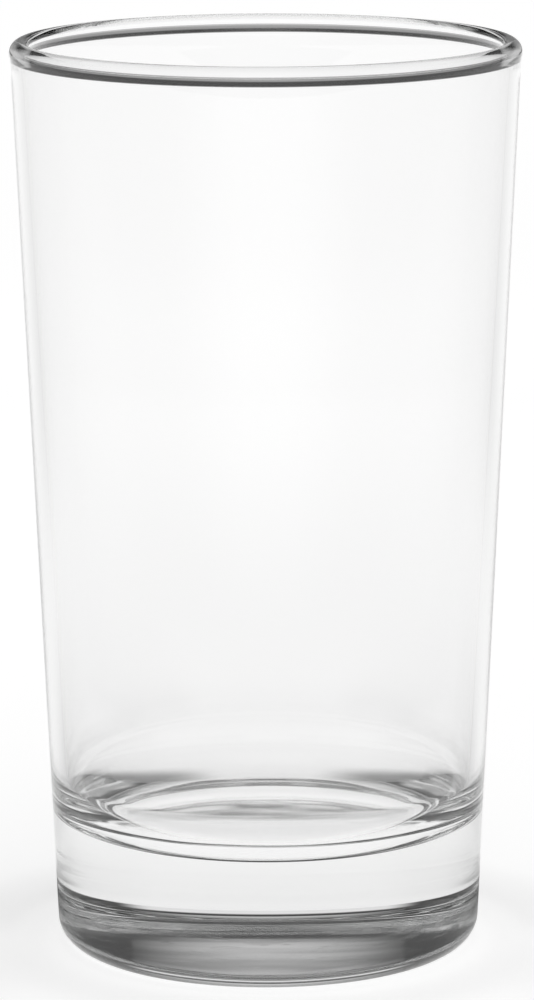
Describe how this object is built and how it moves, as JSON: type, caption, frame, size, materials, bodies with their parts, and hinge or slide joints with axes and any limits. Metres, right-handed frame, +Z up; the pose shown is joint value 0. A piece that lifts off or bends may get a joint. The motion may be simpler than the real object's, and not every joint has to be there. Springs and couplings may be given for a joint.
{
  "type": "water glass",
  "caption": "Clear straight-sided tumbler with a gently tapered wall, a softly beaded rim and a heavy solid base, for drinking water.",
  "frame": {"origin": "middle of the foot, on the surface that the glass stands on", "axes": "+Z up along the glass's axis, +X and +Y level; the glass is round, so their turn about +Z is free"},
  "size_m": [0.0686, 0.0686, 0.124],
  "materials": {
    "clear_glass": "fire-polished clear soda-lime glass"
  },
  "bodies": {
    "root": {"solid_base": "clear_glass", "side_wall": "clear_glass", "rim_bead": "clear_glass"}
  },
  "joints": []
}
